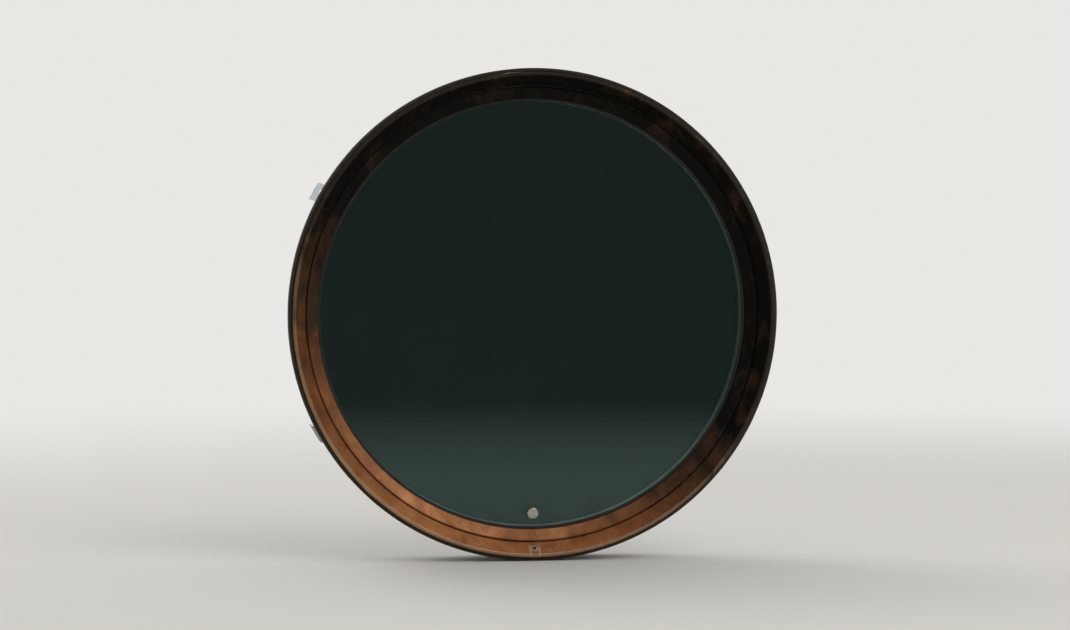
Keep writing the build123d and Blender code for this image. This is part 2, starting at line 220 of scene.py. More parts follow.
# %% Foam tape in the joint
FOAM_POINTS = 48
FOAM_STEPS = 1500
FOAM_CORNER = 0.9 * MM
FOAM_DENT = 0.07
tape_inner, tape_outer, tape_front, tape_back = ring("joint_tape")
tape_corners = [
    (tape_inner, tape_front), (tape_outer, tape_front),
    (tape_outer, tape_back), (tape_inner, tape_back),
]
foam_outline = evenly(rounded(tape_corners, [FOAM_CORNER] * 4), FOAM_POINTS)
foam_middle = foam_outline.mean(axis=0)
wide_dents = lumps(FOAM_POINTS, FOAM_STEPS, down=6, along=90, seed=3)
fine_dents = lumps(FOAM_POINTS, FOAM_STEPS, down=24, along=700, seed=4)
foam_size = 1 - FOAM_DENT * (0.6 * wide_dents + 0.4 * fine_dents)
foam_radius, foam_depth = (
    middle + (places[:, None] - middle) * foam_size
    for middle, places in zip(foam_middle, foam_outline.T)
)
foam = make_piece("foam_tape", [carried_round(foam_radius, foam_depth)], "joint_tape")

# %% [markdown]
# Two rubber gaskets hold the glass. The outer one shows as a black line whose edge curls down to
# the pane, and its foot stands in the groove between the cap and the bead. The inner one shows from
# indoors. Rubber is pulled in by hand, so its edge wanders by a tenth of a millimetre or two. Only
# the edge in view may wander: the share `in_view` is 1 there and 0 at the hidden side.

# %% Gaskets
GASKET_POINTS = 64
GASKET_STEPS = 900
LIP_ROUND = 2.7 * MM
SMALL_ROUND = 0.3 * MM
FOOT_ROUND = 0.15 * MM
FOOT_PLAY = 0.3 * MM
COPPER_SHEET = 1.5 * MM
EDGE_DRIFT = 0.25 * MM


def gasket(name, stands_for, corners, cuts, seed):
    """Outline with cut corners, carried round. Its radius grows by
    drift * (share in view)^2 * lumps."""
    inner, outer = ring(stands_for)[:2]
    radius, depth = evenly(rounded(corners, cuts), GASKET_POINTS).T[:, :, None]
    in_view = (outer - radius) / (outer - inner)
    wander = lumps(GASKET_POINTS, GASKET_STEPS, down=1, along=60, seed=seed)
    radius = radius + EDGE_DRIFT * in_view**2 * wander
    grid = carried_round(radius, np.broadcast_to(depth, radius.shape))
    return make_piece(name, [grid], stands_for)


inner, outer, foot_front, back = ring("outer_gasket")
seat = ring("bead_cap")[3]
foot_inner = ring("bead_cap")[0] + COPPER_SHEET + FOOT_PLAY
foot_outer = ring("glazing_bead")[0] - FOOT_PLAY
outer_lip = gasket("outer_gasket_lip", "outer_gasket", [
    (inner, seat), (foot_inner, seat), (foot_inner, foot_front), (foot_outer, foot_front),
    (foot_outer, seat), (outer, seat), (outer, back), (inner, back),
], [LIP_ROUND, *[FOOT_ROUND] * 4, SMALL_ROUND, SMALL_ROUND, SMALL_ROUND / 5], seed=5)

inner, outer, front, back = ring("inner_gasket")
inner_lip = gasket("inner_gasket_lip", "inner_gasket", [
    (inner, front), (outer, front), (outer, back), (inner, back),
], [3 * SMALL_ROUND, SMALL_ROUND, SMALL_ROUND, 3 * SMALL_ROUND], seed=6)

# %% [markdown]
# Twelve screws hold the six anchor lugs to the frame. Each has a low round head with a six-lobed
# recess. A screw is turned work, so its outline runs from the middle of the recess over the head
# and down to the tip, and only the recess departs from a circle: its radius swells and shrinks six
# times on the way round.

# %% Screws with a six-lobed recess
HEAD_WIDTH = 9.0 * MM
LOBES = 6
LOBE_DEPTH = 0.16
SCREW_STEPS = 48
# Radius and height above the lug in millimetres, and the share of the lobes
SCREW_OUTLINE = np.array([
    (0.0, 0.6, 0), (1.85, 0.6, 1), (1.95, 1.7, 1), (2.15, 1.9, 0.6), (2.9, 1.95, 0), (3.6, 1.75, 0),
    (4.2, 1.3, 0), (4.5, 0.7, 0), (4.5, 0.0, 0), (2.3, 0.0, 0), (2.3, -4.0, 0), (0.0, -4.8, 0),
])
screw_radius, screw_height, lobed = SCREW_OUTLINE.T[:, :, None] * [[[MM]], [[MM]], [[1]]]
turn = np.linspace(0, 2 * np.pi, SCREW_STEPS, endpoint=False)
screw_radius = screw_radius * (1 + LOBE_DEPTH * lobed * np.cos(LOBES * turn))


def screw(lug, depth, seat_radius):
    """Grid of a screw:
    out * (seat + height) + side * radius * cos turn + Y * (depth + radius * sin turn)."""
    low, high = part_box(lug)
    out = Vector((low.x + high.x, 0, low.z + high.z)).normalized()
    side = out.cross(Vector((0, 1, 0)))
    out, side, along = (np.array(axis) for axis in (out, side, (0, 1, 0)))
    return (
        out * (seat_radius + screw_height)[..., None]
        + side * (screw_radius * np.cos(turn))[..., None]
        + along * (depth + screw_radius * np.sin(turn))[..., None]
    )


_, screws_top, screws_front, screws_back = ring("lug_screws")
head_seat = screws_top - SCREW_OUTLINE[:, 1].max() * MM
rows = (screws_front + HEAD_WIDTH / 2, screws_back - HEAD_WIDTH / 2)
lugs = sorted(name for name in nodes if name.startswith("anchor_lug"))
screw_grids = [screw(lug, depth, head_seat) for lug in lugs for depth in rows]
screws = make_piece("screw_heads", screw_grids, "lug_screws", tube=False)
screws.data.set_sharp_from_angle(angle=radians(35))

# %% [markdown]
# Colours are picked as sRGB hex codes, which is how a paint chart or a photograph gives them.
# Blender mixes light in linear values, so one function turns the codes round. Pattern sizes are
# written in millimetres: a noise of scale 1 repeats about once in a metre, so a feature of some
# millimetres needs 1000 divided by it.

# %% Colours and scales


def paint(code):
    """Linear colour of an sRGB hex code. A dark channel c becomes c / 12.92, and any other
    becomes ((c + 0.055) / 1.055) ^ 2.4."""
    channels = np.array([int(code[start:start + 2], 16) for start in (1, 3, 5)]) / 255
    linear = np.where(channels <= 0.04045, channels / 12.92, ((channels + 0.055) / 1.055) ** 2.4)
    return (*linear.tolist(), 1.0)


def per(millimetres):
    """Scale of a pattern whose features are about that many millimetres across."""
    return 1000 / millimetres


print("copper orange in linear light:", [round(channel, 3) for channel in paint("#A87753")])

# %% [markdown]
# A finish is a small tree of nodes. It starts from Object coordinates, which are places on the
# window in metres, so a pattern keeps its real size on every piece and runs on across a joint. One
# function adds any node with its settings and links. Some sockets of a Mix node share one name, so
# those go by their numbers.

# %% Build a finish
COLOUR_A, COLOUR_B, MIXED_COLOUR = 6, 7, 2
NUMBER_A, NUMBER_B, MIXED_NUMBER = 2, 3, 0


def add(tree, kind, settings=None, inputs=None):
    """Adds one node. settings are its own properties, and stops are a ramp's places and hex codes.
    inputs are its sockets by name or number, each given a value or the output that feeds it."""
    node = tree.nodes.new("ShaderNode" + kind)
    for name, value in (settings or {}).items():
        if name == "stops":
            ramp = node.color_ramp.elements
            while len(ramp) < len(value):
                ramp.new(1.0)
            for element, (place, code) in zip(ramp, value):
                element.position, element.color = place, paint(code)
        else:
            setattr(node, name, value)
    for name, value in (inputs or {}).items():
        if isinstance(value, bpy.types.NodeSocket):
            tree.links.new(value, node.inputs[name])
        else:
            node.inputs[name].default_value = value
    return node


def start_finish(name, **values):
    """A new material, its node tree and its Object coordinates. values are numbers and colours
    that are the same all over the surface, named for their sockets, with _ for a space."""
    material = bpy.data.materials.new(name)
    material.use_nodes = True
    tree = material.node_tree
    for socket, value in values.items():
        tree.nodes["Principled BSDF"].inputs[socket.replace("_", " ")].default_value = value
    return material, tree, add(tree, "TexCoord").outputs["Object"]


def finished(material, **outputs):
    """The same material, with outputs linked to the shader's sockets of their names."""
    tree = material.node_tree
    for socket, output in outputs.items():
        tree.links.new(output, tree.nodes["Principled BSDF"].inputs[socket.replace("_", " ")])
    return material


print("sockets of a Mix node for colours:", COLOUR_A, "and", COLOUR_B, "mixed to", MIXED_COLOUR)

# %% [markdown]
# Patterns that follow the ring need its own directions. Along the ring, the point's direction from
# the axis is used in place of its angle, because an angle jumps from 360 to 0 degrees and would
# leave a seam. Across the ring, radius minus depth grows steadily over both sloping faces.

# %% Places round the ring
MEAN_RADIUS = 0.3


def ring_places(tree, place):
    """A point's x, y and z, its radius and direction from the axis, and its wrapped place:
    (direction x, radius - y, direction z)."""
    x, y, z = add(tree, "SeparateXYZ", inputs={"Vector": place}).outputs
    flat = add(tree, "CombineXYZ", inputs={"X": x, "Z": z}).outputs[0]
    radius = add(tree, "VectorMath", {"operation": "LENGTH"}, {0: flat}).outputs["Value"]
    direction = add(tree, "VectorMath", {"operation": "NORMALIZE"}, {0: flat}).outputs["Vector"]
    across = add(tree, "Math", {"operation": "SUBTRACT"}, {0: radius, 1: y}).outputs[0]
    direction_x, _, direction_z = add(tree, "SeparateXYZ", inputs={"Vector": direction}).outputs
    wrapped = add(tree, "CombineXYZ", inputs={
        "X": direction_x, "Y": across, "Z": direction_z,
    }).outputs[0]
    return SimpleNamespace(x=x, y=y, z=z, radius=radius, direction=direction, wrapped=wrapped)


def stretched(along, across):
    """Factors for wrapped places: a noise of scale 1 gets features that long and wide, in mm."""
    return (MEAN_RADIUS * per(along), per(across), MEAN_RADIUS * per(along))


print("factors for lines of 70 by 1.1 mm:", stretched(70, 1.1))

# %% [markdown]
# The ring is copper sheet that has stood outdoors for years. Copper turns from orange to brown and
# then to nearly black, fastest where damp stays and slowest where rain washes it. On this ring the
# top and the right side are painted dark, as painted shade, while the bottom and the lower left are
# painted orange, as painted light. So one number per point says how fresh and how lit it is, from 0
# for dark to 1 for light: the side of the ring gives the slow change of painted light and shade,
# and mottles of a few centimetres and run-off streaks of weathering are added to it.

# %% Freshness and painted light of the copper
# The lit side, and how far the painted light and shade reach round the ring.
LIT_SIDE = (-0.42, 0.0, -0.91)
PAINTED_LIGHT_LEAST, PAINTED_LIGHT_MOST = -0.47, 0.19
MOTTLE_SHARE = 0.9
RUNOFF_SHARE = 0.25
RUNOFF_SIZE = (10, 30, 60)


def freshness_and_light(tree, place, at):
    """fresh and lit = mottle * share + run-off * share + painted light. The painted light grows
    with the dot product of the point's direction from the axis and the lit side: lighter at the
    lower left, darker at the top and right. Returns fresh and lit, and the mottle."""
    mottle = add(tree, "TexNoise", inputs={
        "Vector": place, "Scale": per(42), "Detail": 9.0, "Roughness": 0.70, "Distortion": 0.6,
    }).outputs["Fac"]
    runoff_place = add(tree, "VectorMath", {"operation": "MULTIPLY"}, {
        0: place, 1: tuple(per(side) for side in RUNOFF_SIZE),
    }).outputs[0]
    runoff = add(tree, "TexNoise", inputs={
        "Vector": runoff_place, "Scale": 1.0, "Detail": 5.0,
    }).outputs["Fac"]
    # Painted light and shade: lighter towards the lower left of the ring, darker towards its top
    # and right.
    towards = add(tree, "VectorMath", {"operation": "DOT_PRODUCT"}, {
        0: at.direction, 1: LIT_SIDE,
    }).outputs["Value"]
    painted_light = add(tree, "MapRange", {"interpolation_type": "SMOOTHSTEP"}, {
        "Value": towards, "From Min": -0.2, "From Max": 1.0,
        "To Min": PAINTED_LIGHT_LEAST, "To Max": PAINTED_LIGHT_MOST,
    }).outputs[0]
    runoff_and_light = add(tree, "Math", {"operation": "MULTIPLY_ADD"}, {
        0: runoff, 1: RUNOFF_SHARE, 2: painted_light,
    }).outputs[0]
    fresh_and_lit = add(tree, "Math", {"operation": "MULTIPLY_ADD"}, {
        0: mottle, 1: MOTTLE_SHARE, 2: runoff_and_light,
    }).outputs[0]
    return fresh_and_lit, mottle


print("the wash adds", PAINTED_LIGHT_LEAST, "to", PAINTED_LIGHT_MOST, "to the freshness, most towards", LIT_SIDE)

# %% [markdown]
# The share of freshness and painted light picks the colour of the skin from a ramp of four tones,
# so the lightest tone stands where the painted light is and the dark one where the painted shade
# is. Two finer things lie over it: the long faint marks that the rolling mill leaves in sheet, and
# small dark spots of old tarnish. The spots are the hearts of Voronoi cells, with an edge frayed by
# noise, and they are larger where the mottle is bright.

# %% Skin of the copper
SPOT_COLOUR = paint("#3B2519")
FRAY_SHARE = 0.22


def copper_skin(tree, place, fresh_and_lit, mottle, rolling, tones):
    """Ramp of the tones by freshness, times the rolling marks, mixed with the spots. A spot is
    where its largest distance is more than the distance from the cell's heart + fray * share."""
    lightest, middle, dull, dark = tones
    # Painted light and shade: the ramp gives the lit side the lightest tone and the shaded side the
    # dark one.
    ramp = [(0.12, dark), (0.42, dull), (0.66, middle), (0.90, lightest)]
    skin = add(tree, "ValToRGB", {"stops": ramp}, {"Fac": fresh_and_lit}).outputs["Color"]
    marks = add(tree, "MapRange", inputs={
        "Value": rolling, "From Min": 0.3, "From Max": 0.7, "To Min": 0.92, "To Max": 1.07,
    }).outputs[0]
    skin = add(tree, "VectorMath", {"operation": "SCALE"}, {0: skin, "Scale": marks}).outputs[0]

    frayed = add(tree, "TexNoise", inputs={
        "Vector": place, "Scale": per(1.5), "Detail": 3.0,
    }).outputs["Fac"]
    cells = add(tree, "TexVoronoi", inputs={"Vector": place, "Scale": per(9), "Randomness": 1.0})
    distance = add(tree, "Math", {"operation": "MULTIPLY_ADD"}, {
        0: frayed, 1: FRAY_SHARE, 2: cells.outputs["Distance"],
    }).outputs[0]
    largest = add(tree, "MapRange", inputs={
        "Value": mottle, "From Min": 0.35, "From Max": 0.65, "To Min": 0.10, "To Max": 0.27,
    }).outputs[0]
    inside = add(tree, "Math", {"operation": "SUBTRACT"}, {0: largest, 1: distance}).outputs[0]
    spot = add(tree, "MapRange", inputs={
        "Value": inside, "From Min": 0.0, "From Max": 0.06, "To Min": 0.0, "To Max": 0.6,
    }).outputs[0]
    mixed = add(tree, "Mix", {"data_type": "RGBA"}, {
        0: spot, COLOUR_A: skin, COLOUR_B: SPOT_COLOUR,
    })
    return mixed.outputs[MIXED_COLOUR]


print("spots of tarnish in linear light:", [round(channel, 3) for channel in SPOT_COLOUR])

# %% [markdown]
# The front lip is painted pale and greyish, as a painted highlight where its front edge catches the
# light, and most so on the side with the painted light. It lies in the first millimetre of depth.

# %% Painted highlight on the lip
# The pale colour of the painted highlight on the lip's front edge.
LIP_HIGHLIGHT_COLOUR = paint("#A8957B")
LIP_FULL = 0.3 * MM
LIP_END = 1.1 * MM


def painted_lip_highlight(tree, skin, y, fresh_and_lit, front):
    """Mixes the lip's painted highlight into the skin by (share from the depth y) * (share from
    freshness and painted light).
    """
    near_front = add(tree, "MapRange", inputs={
        "Value": y, "From Min": front + LIP_FULL, "From Max": front + LIP_END,
        "To Min": 0.7, "To Max": 0.0,
    }).outputs[0]
    lit_share = add(tree, "MapRange", inputs={
        "Value": fresh_and_lit, "From Min": 0.2, "From Max": 0.7, "To Min": 0.12, "To Max": 1.0,
    }).outputs[0]
    highlight_share = add(tree, "Math", {"operation": "MULTIPLY"}, {0: near_front, 1: lit_share}).outputs[0]
    mixed = add(tree, "Mix", {"data_type": "RGBA"}, {0: highlight_share, COLOUR_A: skin, COLOUR_B: LIP_HIGHLIGHT_COLOUR})
    return mixed.outputs[MIXED_COLOUR]


print("the lip's pale skin ends", round(LIP_END / MM, 1), "mm behind its front")

# %% [markdown]
# Rain that drips from the gap above the drain hole carries lime dust. It parts round the eyelet and
# dries as two pale, chalky runs, from the gap down to the lip. Two equal runs need only one
# pattern: the absolute value of x folds left onto right. Lime is no metal, so where a run lies, the
# metal share falls too.

# %% Chalky runs beside the drain hole
RUN_OFFSET = 6.0 * MM
RUN_HALF_WIDTH = 0.7 * MM
RUN_START = 6.0 * MM
LIME_COLOUR = paint("#B9AE9C")
LIME_ROUGHNESS = 0.85


def chalky_runs(tree, at, drain, skin, roughness):
    """Mixes two narrow pale stripes into the skin. Away from the middle of a run by
    abs(abs(x) - offset) + drift, lime falls from full to none between one half width and three."""
    drift_place = add(tree, "CombineXYZ", inputs={"X": at.x, "Z": at.z}).outputs[0]
    drift = add(tree, "TexNoise", inputs={
        "Vector": drift_place, "Scale": per(5), "Detail": 4.0,
    }).outputs["Fac"]
    side = add(tree, "Math", {"operation": "ABSOLUTE"}, {0: at.x}).outputs[0]
    side = add(tree, "Math", {"operation": "SUBTRACT"}, {0: side, 1: RUN_OFFSET}).outputs[0]
    side = add(tree, "Math", {"operation": "ABSOLUTE"}, {0: side}).outputs[0]
    ragged = add(tree, "Math", {"operation": "MULTIPLY_ADD"}, {
        0: drift, 1: RUN_HALF_WIDTH, 2: side,
    }).outputs[0]
    stripe = add(tree, "MapRange", inputs={
        "Value": ragged, "From Min": RUN_HALF_WIDTH, "From Max": 3 * RUN_HALF_WIDTH,
        "To Min": 0.7, "To Max": 0.0,
    }).outputs[0]
    outside = add(tree, "MapRange", inputs={
        "Value": at.radius, "From Min": drain - RUN_START, "From Max": drain,
    }).outputs[0]
    below = add(tree, "Math", {"operation": "LESS_THAN"}, {0: at.z, 1: 0.0}).outputs[0]
    lime = add(tree, "Math", {"operation": "MULTIPLY"}, {0: stripe, 1: outside}).outputs[0]
    lime = add(tree, "Math", {"operation": "MULTIPLY"}, {0: lime, 1: below}).outputs[0]
    skin = add(tree, "Mix", {"data_type": "RGBA"}, {0: lime, COLOUR_A: skin, COLOUR_B: LIME_COLOUR})
    roughness = add(tree, "Mix", {"data_type": "FLOAT"}, {
        0: lime, NUMBER_A: roughness, NUMBER_B: LIME_ROUGHNESS,
    })
    metal = add(tree, "Math", {"operation": "SUBTRACT"}, {0: 1.0, 1: lime}).outputs[0]
    return skin.outputs[MIXED_COLOUR], roughness.outputs[MIXED_NUMBER], metal


print("lime runs", round(RUN_OFFSET / MM, 1), "mm to the left and right of the drain hole's middle")

# %% [markdown]
# All of this comes together in one finish. It stays a metal, because even a brown skin on copper
# has a metal's sheen, and the parts with a higher share of freshness and painted light are a little
# smoother. Three reliefs are laid over each other: wide dents from forming the sheet by hand, the
# rolling marks, and a fine grain of tarnish.
# The marks and the grain are drawn more than a millimetre wide, coarser than real, so that they
# show. The steep face is a tone redder than the cap beside the glass, so the finish is a function
# with the tones as an argument.

# %% Weathered copper sheet with painted light and shade
MARK_LENGTH, MARK_WIDTH = 70, 1.1
GRAIN_SIZE = 1.6
DENT_SIZE = 60


def weathered_copper_with_painted_light(name, tones, lip_front=None, drain=None):
    """Copper with four tones, from lightest to dark, with painted light and shade. The lip gets its
    painted highlight and the lime runs where the depth of the lip's front and the radius of the
    drain hole are given."""
    material, tree, place = start_finish(name, Metallic=1.0)
    at = ring_places(tree, place)
    fresh_and_lit, mottle = freshness_and_light(tree, place, at)
    marks_place = add(tree, "VectorMath", {"operation": "MULTIPLY"}, {
        0: at.wrapped, 1: stretched(MARK_LENGTH, MARK_WIDTH),
    }).outputs[0]
    rolling = add(tree, "TexNoise", inputs={
        "Vector": marks_place, "Scale": 1.0, "Detail": 4.0,
    }).outputs["Fac"]
    skin = copper_skin(tree, place, fresh_and_lit, mottle, rolling, tones)
    roughness = add(tree, "MapRange", inputs={
        "Value": fresh_and_lit, "From Min": 0.2, "From Max": 0.95, "To Min": 0.60, "To Max": 0.44,
    }).outputs[0]

    dents = add(tree, "TexNoise", inputs={
        "Vector": place, "Scale": per(DENT_SIZE), "Detail": 1.0,
    }).outputs["Fac"]
    grain = add(tree, "TexNoise", inputs={
        "Vector": place, "Scale": per(GRAIN_SIZE), "Detail": 3.0,
    }).outputs["Fac"]
    relief = add(tree, "Bump", inputs={
        "Height": dents, "Distance": 0.9 * MM, "Strength": 0.5,
    }).outputs[0]
    for height, distance in ((rolling, 0.08 * MM), (grain, 0.10 * MM)):
        relief = add(tree, "Bump", inputs={
            "Height": height, "Distance": distance, "Strength": 0.5, "Normal": relief,
        }).outputs[0]

    if lip_front is not None:
        skin = painted_lip_highlight(tree, skin, at.y, fresh_and_lit, lip_front)
    if drain is not None:
        skin, roughness, metal = chalky_runs(tree, at, drain, skin, roughness)
        finished(material, Metallic=metal)
    return finished(material, Base_Color=skin, Roughness=roughness, Normal=relief)


drain_low, drain_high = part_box("weep_eyelet")
steep_copper = weathered_copper_with_painted_light(
    "weathered copper with painted light, steep face", ("#CC8A58", "#A86A42", "#644734", "#1F1E1A"),
    lip_front=ring("facing_ring")[2], drain=-(drain_low.z + drain_high.z) / 2,
)
cap_copper = weathered_copper_with_painted_light("weathered copper with painted light, cap", ("#A3714D", "#835638", "#513C2E", "#1F1E1A"))
for copper in (steep_copper, cap_copper):
    print(copper.name, "has", len(copper.node_tree.nodes), "nodes")

# %% [markdown]
# The outer pane is clear float glass, which is faintly green. It has to let lamps through to the
# spacer behind it: a path tracer can't aim light through a refracting surface, so for shadow rays
# the pane is plainly transparent. A thin film of dust lies near the lower rim, where rain leaves it
# when it dries.

# %% Outer pane
GLASS_FOOT = -0.28
DUST_HEIGHT = 0.10


def clear_float_glass():
    material, tree, place = start_finish(
        "clear float glass", Base_Color=paint("#DDF0EC"), Transmission_Weight=1.0, Roughness=0.0,
        IOR=1.52, Specular_IOR_Level=0.2, Specular_Tint=paint("#C6E2E0"),
    )
    z = add(tree, "SeparateXYZ", inputs={"Vector": place}).outputs["Z"]
    marks = add(tree, "TexNoise", inputs={
        "Vector": place, "Scale": per(25), "Detail": 3.0,
    }).outputs["Fac"]
    low = add(tree, "MapRange", {"interpolation_type": "SMOOTHSTEP"}, {
        "Value": z, "From Min": GLASS_FOOT, "From Max": GLASS_FOOT + DUST_HEIGHT,
        "To Min": 1.0, "To Max": 0.0,
    }).outputs[0]
    film = add(tree, "MapRange", inputs={
        "Value": marks, "From Min": 0.35, "From Max": 0.8, "To Min": 0.0, "To Max": 0.02,
    }).outputs[0]
    film = add(tree, "Math", {"operation": "MULTIPLY"}, {0: film, 1: low}).outputs[0]
    clear = add(tree, "Math", {"operation": "SUBTRACT"}, {0: 1.0, 1: film}).outputs[0]
    for_lamps = add(tree, "BsdfTransparent", inputs={"Color": paint("#DDF0E8")}).outputs[0]
    shadow_ray = add(tree, "LightPath").outputs["Is Shadow Ray"]
    glass = tree.nodes["Principled BSDF"].outputs[0]
    both = add(tree, "MixShader", inputs={0: shadow_ray, 1: glass, 2: for_lamps}).outputs[0]
    tree.links.new(both, tree.nodes["Material Output"].inputs["Surface"])
    return finished(material, Transmission_Weight=clear)


outer_glass = clear_float_glass()
print("outer pane:", outer_glass.name)

# %% [markdown]
# A window looks nearly black by day, because it is darker indoors than out. Nothing stands behind
# this one, so the inner pane carries that shade itself: it is painted nearly black with a trace of
# blue-green, a painted shade of the room. It is drawn as a dark glossy body and not as a clear
# one.

# %% Inner pane


def glass_with_painted_room_shade():
    material, tree, place = start_finish(
        "glass with painted room shade", Roughness=0.02,
        IOR=1.52, Specular_IOR_Level=0.35, Specular_Tint=paint("#C6E2E0"),
    )
    cloud = add(tree, "TexNoise", inputs={
        "Vector": place, "Scale": per(260), "Detail": 3.0,
    }).outputs["Fac"]
    # Painted shade: the nearly black colour stands for the dark room behind the window.
    room_shade = add(tree, "ValToRGB", {"stops": [(0.35, "#080A08"), (0.65, "#0B1413")]}, {"Fac": cloud})
    return finished(material, Base_Color=room_shade.outputs["Color"])


inner_glass = glass_with_painted_room_shade()
print("inner pane:", inner_glass.name)

# %% [markdown]
# Rubber, butyl and foam are all dark, and differ in their surface. Pressed-out rubber is smooth
# with a dull sheen and a little dust in its pores, which are drawn coarser than real so that they
# show. Butyl is stickier and glossier. Foam is a mass of open cells: a Voronoi pattern gives the
# cells, and the edges between them stand up as relief.

# %% Rubber, sealant and foam


def pressed_rubber():
    material, tree, place = start_finish(
        "extruded EPDM rubber", Roughness=0.55, Specular_IOR_Level=0.4,
    )
    dust = add(tree, "TexNoise", inputs={
        "Vector": place, "Scale": per(6), "Detail": 6.0, "Roughness": 0.7,
    }).outputs["Fac"]
    skin = add(tree, "ValToRGB", {"stops": [(0.4, "#141413"), (0.75, "#2C2B28")]}, {"Fac": dust})
    pores = add(tree, "TexNoise", inputs={
        "Vector": place, "Scale": per(0.7), "Detail": 2.0,
    }).outputs["Fac"]
    relief = add(tree, "Bump", inputs={
        "Height": pores, "Distance": 0.05 * MM, "Strength": 0.6,
    }).outputs[0]
    return finished(material, Base_Color=skin.outputs["Color"], Normal=relief)


def butyl_sealant():
    material, tree, place = start_finish("pressed butyl sealant", Roughness=0.38)
    smear = add(tree, "TexNoise", inputs={
        "Vector": place, "Scale": per(9), "Detail": 4.0,
    }).outputs["Fac"]
    skin = add(tree, "ValToRGB", {"stops": [(0.35, "#1A1A1B"), (0.7, "#242425")]}, {"Fac": smear})
    relief = add(tree, "Bump", inputs={
        "Height": smear, "Distance": 0.3 * MM, "Strength": 0.5,
    }).outputs[0]
    return finished(material, Base_Color=skin.outputs["Color"], Normal=relief)


def open_cell_foam():
    material, tree, place = start_finish("open-cell foam", Roughness=0.95, Specular_IOR_Level=0.2)
    cells = add(tree, "TexVoronoi", inputs={"Vector": place, "Scale": per(1.3)}).outputs["Distance"]
    # The cells are painted darker towards their middles: painted shade in the hollows of the foam.
    skin = add(tree, "ValToRGB", {"stops": [(0.1, "#191817"), (0.6, "#4A4642")]}, {"Fac": cells})
    relief = add(tree, "Bump", inputs={
        "Height": cells, "Distance": 0.6 * MM, "Strength": 0.8,
    }).outputs[0]
    return finished(material, Base_Color=skin.outputs["Color"], Normal=relief)


rubber, sealant, foam_finish = pressed_rubber(), butyl_sealant(), open_cell_foam()
print("dark finishes:", rubber.name, "/", sealant.name, "/", foam_finish.name)

# %% [markdown]
# Mill-finish aluminium is bare metal as the press leaves it. The die draws fine lines along the
# section, so a noise is stretched far along the ring and kept narrow across it. Half a millimetre
# is coarser than real, so that the lines show. They give the tone, the sheen and a very low relief
# at once, because all three come from the same lines.

# %% Aluminium, mill finish


def mill_aluminium():
    material, tree, place = start_finish("extruded aluminium, mill finish", Metallic=1.0)
    lines_place = add(tree, "VectorMath", {"operation": "MULTIPLY"}, {
        0: ring_places(tree, place).wrapped, 1: stretched(160, 0.5),
    }).outputs[0]
    lines = add(tree, "TexNoise", inputs={
        "Vector": lines_place, "Scale": 1.0, "Detail": 4.0,
    }).outputs["Fac"]
    skin = add(tree, "ValToRGB", {"stops": [(0.3, "#8F9294"), (0.7, "#ADB0B1")]}, {"Fac": lines})
    sheen = add(tree, "MapRange", inputs={
        "Value": lines, "To Min": 0.42, "To Max": 0.55,
    }).outputs[0]
    relief = add(tree, "Bump", inputs={
        "Height": lines, "Distance": 0.03 * MM, "Strength": 0.6,
    }).outputs[0]
    return finished(material, Base_Color=skin.outputs["Color"], Roughness=sheen, Normal=relief)


aluminium = mill_aluminium()
print("shells and bead:", aluminium.name)

# %% [markdown]
# The spacer between the panes is bright rolled aluminium. Two rows of tiny holes let the drying
# agent behind them take up damp. The holes and the faint lines from the rolls are drawn larger than
# real so that they show. A sine of the angle gives the steps along the ring. The number of holes is
# whole, so the rows close on themselves without a seam.

# %% Spacer with two rows of holes
HOLE_PITCH = 2.5 * MM
HOLE_RADIUS = 0.45 * MM
HOLE_ROW = 3.0 * MM


def rolled_spacer():
    """A hole is where hypot(pitch / pi * sin(count * angle / 2), abs(y - middle) - row) is less
    than its radius. Each row of holes runs the distance row from the middle of the spacer."""
    material, tree, place = start_finish(
        "roll-formed aluminium spacer", Metallic=1.0, Roughness=0.55,
    )
    at = ring_places(tree, place)
    inner, _, front, back = ring("spacer_ring")
    count = round(2 * np.pi * inner / HOLE_PITCH)
    angle = add(tree, "Math", {"operation": "ARCTAN2"}, {0: at.z, 1: at.x}).outputs[0]
    half_steps = add(tree, "Math", {"operation": "MULTIPLY"}, {0: angle, 1: count / 2}).outputs[0]
    wave = add(tree, "Math", {"operation": "SINE"}, {0: half_steps}).outputs[0]
    along = add(tree, "Math", {"operation": "MULTIPLY"}, {
        0: wave, 1: HOLE_PITCH / np.pi,
    }).outputs[0]
    depth = add(tree, "Math", {"operation": "SUBTRACT"}, {
        0: at.y, 1: (front + back) / 2,
    }).outputs[0]
    depth = add(tree, "Math", {"operation": "ABSOLUTE"}, {0: depth}).outputs[0]
    across = add(tree, "Math", {"operation": "SUBTRACT"}, {0: depth, 1: HOLE_ROW}).outputs[0]
    offset = add(tree, "CombineXYZ", inputs={"X": along, "Y": across}).outputs[0]
    reach = add(tree, "VectorMath", {"operation": "LENGTH"}, {0: offset}).outputs["Value"]
    metal = add(tree, "MapRange", inputs={
        "Value": reach, "From Min": HOLE_RADIUS, "From Max": 1.3 * HOLE_RADIUS,
    }).outputs[0]
    marks_place = add(tree, "VectorMath", {"operation": "MULTIPLY"}, {
        0: at.wrapped, 1: stretched(90, 0.6),
    }).outputs[0]
    marks = add(tree, "TexNoise", inputs={
        "Vector": marks_place, "Scale": 1.0, "Detail": 3.0,
    }).outputs["Fac"]
    skin = add(tree, "ValToRGB", {"stops": [(0.3, "#D8DBD6"), (0.7, "#EAEDE8")]}, {"Fac": marks})
    # The holes are painted dark grey: painted shade inside the holes.
    skin = add(tree, "Mix", {"data_type": "RGBA"}, {
        0: metal, COLOUR_A: paint("#3A3C3A"), COLOUR_B: skin.outputs["Color"],
    })
    return finished(material, Base_Color=skin.outputs[MIXED_COLOUR])


